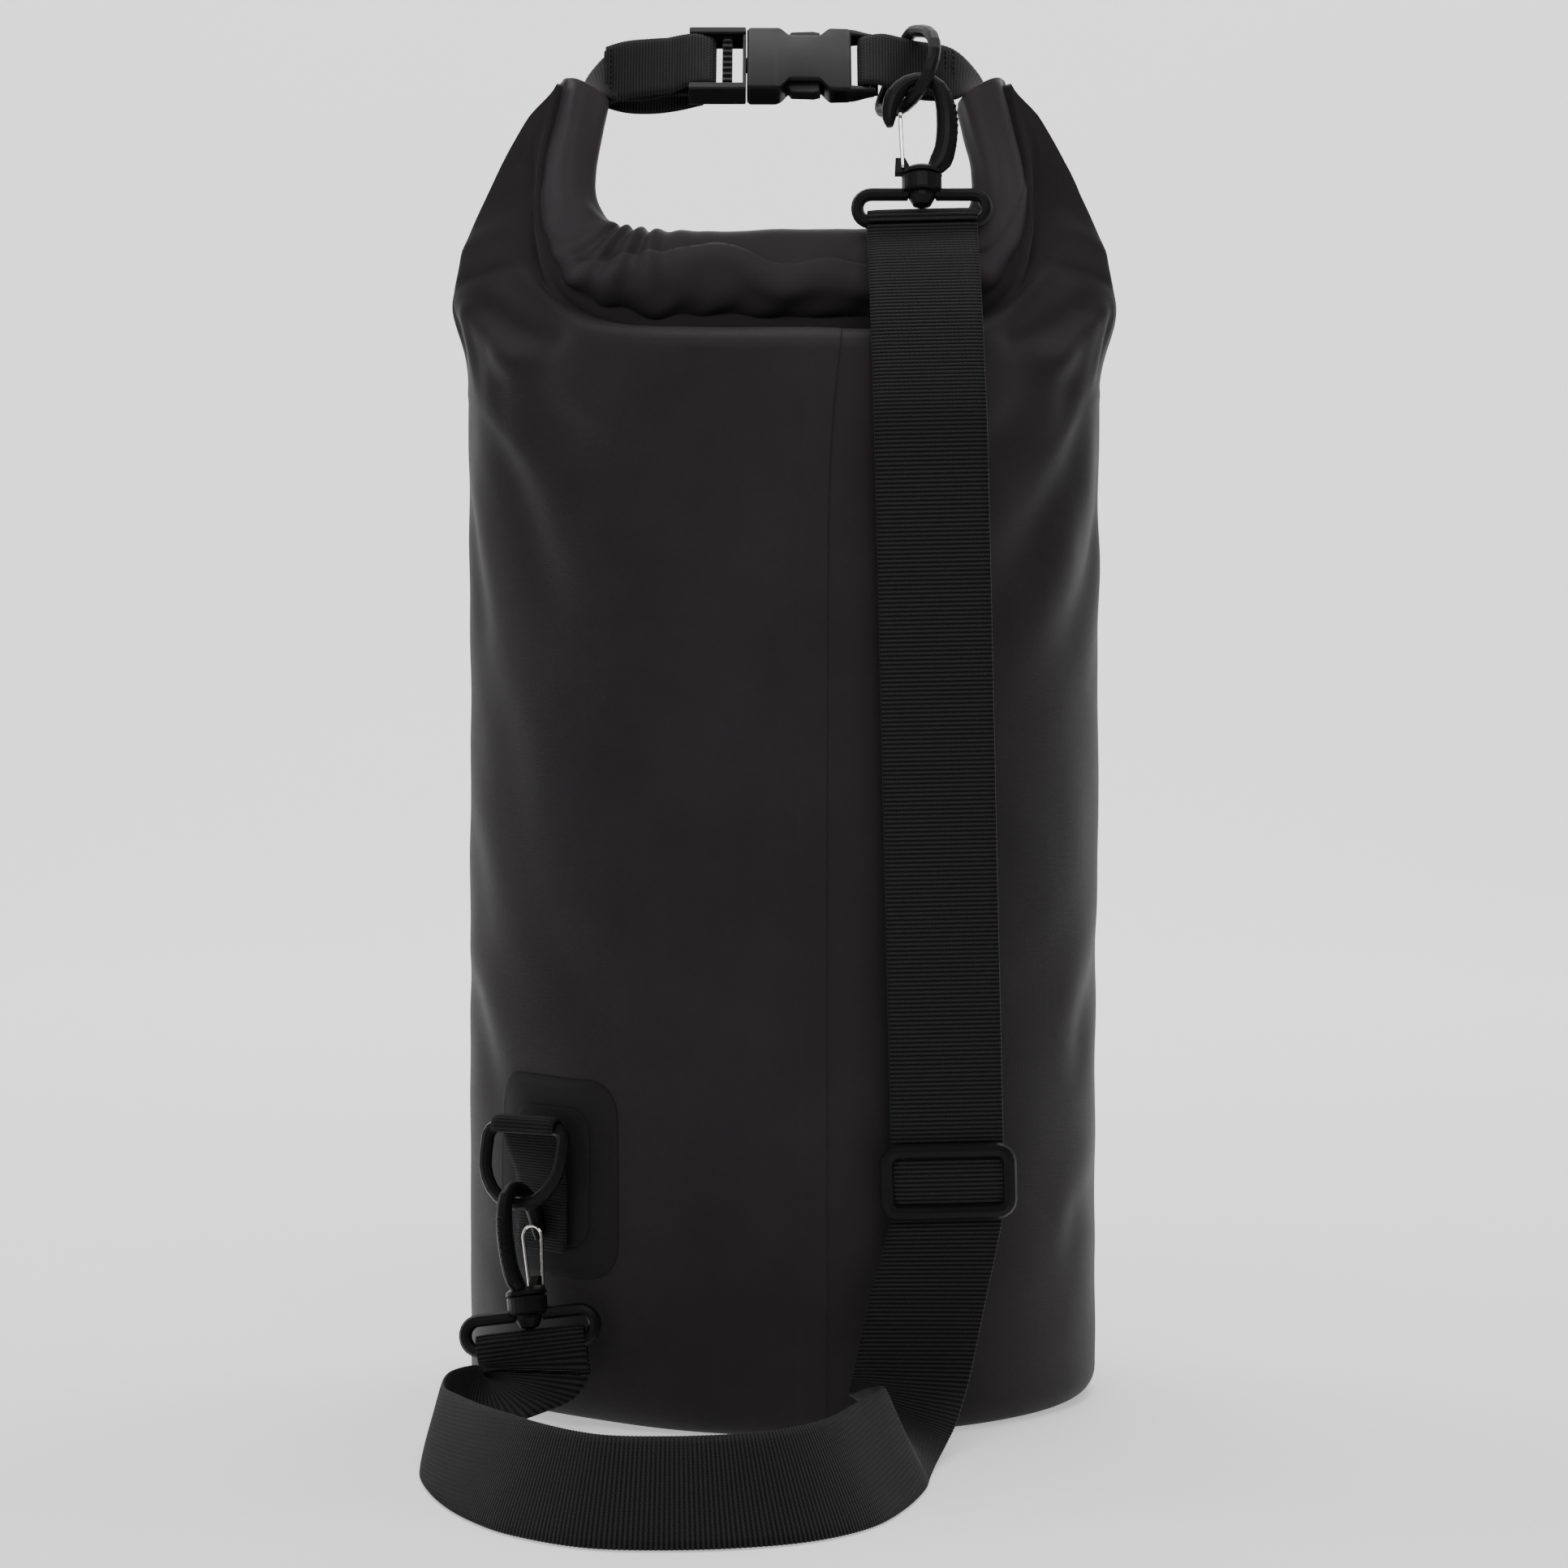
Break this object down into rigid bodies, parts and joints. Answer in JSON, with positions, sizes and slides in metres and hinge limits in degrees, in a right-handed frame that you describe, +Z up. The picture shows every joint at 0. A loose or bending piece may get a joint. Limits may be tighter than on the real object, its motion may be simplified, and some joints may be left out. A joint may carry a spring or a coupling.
{
  "type": "rope storage bag",
  "caption": "Round roll-top dry bag for rope, its rolled mouth buckled into a carrying handle, with a clip-on shoulder strap on swivel hooks.",
  "frame": {"origin": "centre of the round base, on the floor", "axes": "+Z up the bag, -Y towards the face that carries the shoulder strap, +X to that face's right"},
  "size_m": [0.2407, 0.4246, 0.4898],
  "materials": {
    "coated_fabric": "coated, satin",
    "stiffener": "matte",
    "webbing": "woven, matte",
    "moulded_plastic": "satin",
    "gate_steel": "bright wire"
  },
  "bodies": {
    "bag": {"bag_wall": "coated_fabric", "bag_base": "coated_fabric", "mouth_roll": "coated_fabric", "ring_patch_outer": "coated_fabric", "ring_patch_inner": "coated_fabric", "mouth_stiffener_front": "stiffener", "mouth_stiffener_back": "stiffener", "closure_webbing_left": "webbing", "closure_webbing_right": "webbing", "ring_tab_webbing": "webbing", "strap_hanging_run": "webbing", "strap_upper_fold": "webbing", "strap_back_layer": "webbing", "strap_floor_loop": "webbing", "strap_lower_end": "webbing", "buckle_male": "moulded_plastic", "buckle_female": "moulded_plastic", "upper_d_ring": "moulded_plastic", "upper_swivel_base": "moulded_plastic", "lower_swivel_base": "moulded_plastic"},
    "upper_hook": {"upper_hook": "moulded_plastic"},
    "upper_gate": {"upper_hook_gate": "gate_steel"},
    "lower_hook": {"lower_hook": "moulded_plastic"},
    "lower_gate": {"lower_hook_gate": "gate_steel"},
    "lower_ring": {"lower_d_ring": "moulded_plastic"},
    "prong_upper": {"buckle_prong_upper": "moulded_plastic"},
    "prong_lower": {"buckle_prong_lower": "moulded_plastic"},
    "slider": {"strap_slider": "moulded_plastic"}
  },
  "joints": [
    {"name": "upper_hook_swivel", "type": "hinge", "parent": "bag", "child": "upper_hook", "pos_m": [0.0482, -0.0494, 0.4314], "axis": [0, 0.3419, 0.9397], "range_deg": [0, 20]},
    {"name": "upper_gate_hinge", "type": "hinge", "parent": "upper_hook", "child": "upper_gate", "pos_m": [0.0416, -0.04735, 0.43704], "axis": [0, 0.9397, -0.3419], "range_deg": [0, 28], "stiffness_Nm_per_rad": 0.02, "springref_deg": -8.59},
    {"name": "lower_hook_swivel", "type": "hinge", "parent": "bag", "child": "lower_hook", "pos_m": [-0.0885, -0.0982, 0.0444], "axis": [-0.1101, 0.1801, 0.9775], "range_deg": [-25, 15]},
    {"name": "lower_gate_hinge", "type": "hinge", "parent": "lower_hook", "child": "lower_gate", "pos_m": [-0.08571, -0.09153, 0.04962], "axis": [0.8449, -0.501, 0.1874], "range_deg": [0, 28], "stiffness_Nm_per_rad": 0.02, "springref_deg": -8.59},
    {"name": "lower_ring_swing", "type": "hinge", "parent": "bag", "child": "lower_ring", "pos_m": [-0.089, -0.0864, 0.1044], "axis": [0.866, -0.5, 0], "range_deg": [0, 2]},
    {"name": "prong_upper_flex", "type": "hinge", "parent": "bag", "child": "prong_upper", "pos_m": [-0.01, -0.01894, 0.48116], "axis": [0, 0.7071, -0.7071], "range_deg": [0, 7], "stiffness_Nm_per_rad": 0.3, "springref_deg": -2.86},
    {"name": "prong_lower_flex", "type": "hinge", "parent": "bag", "child": "prong_lower", "pos_m": [-0.01, -0.03166, 0.46844], "axis": [0, -0.7071, 0.7071], "range_deg": [0, 7], "stiffness_Nm_per_rad": 0.3, "springref_deg": -2.86},
    {"name": "slider_travel", "type": "slide", "parent": "bag", "child": "slider", "axis": [-0.024, 0, 0.9997], "range_m": [0, 0.15], "deforming": ["strap_back_layer"]}
  ]
}
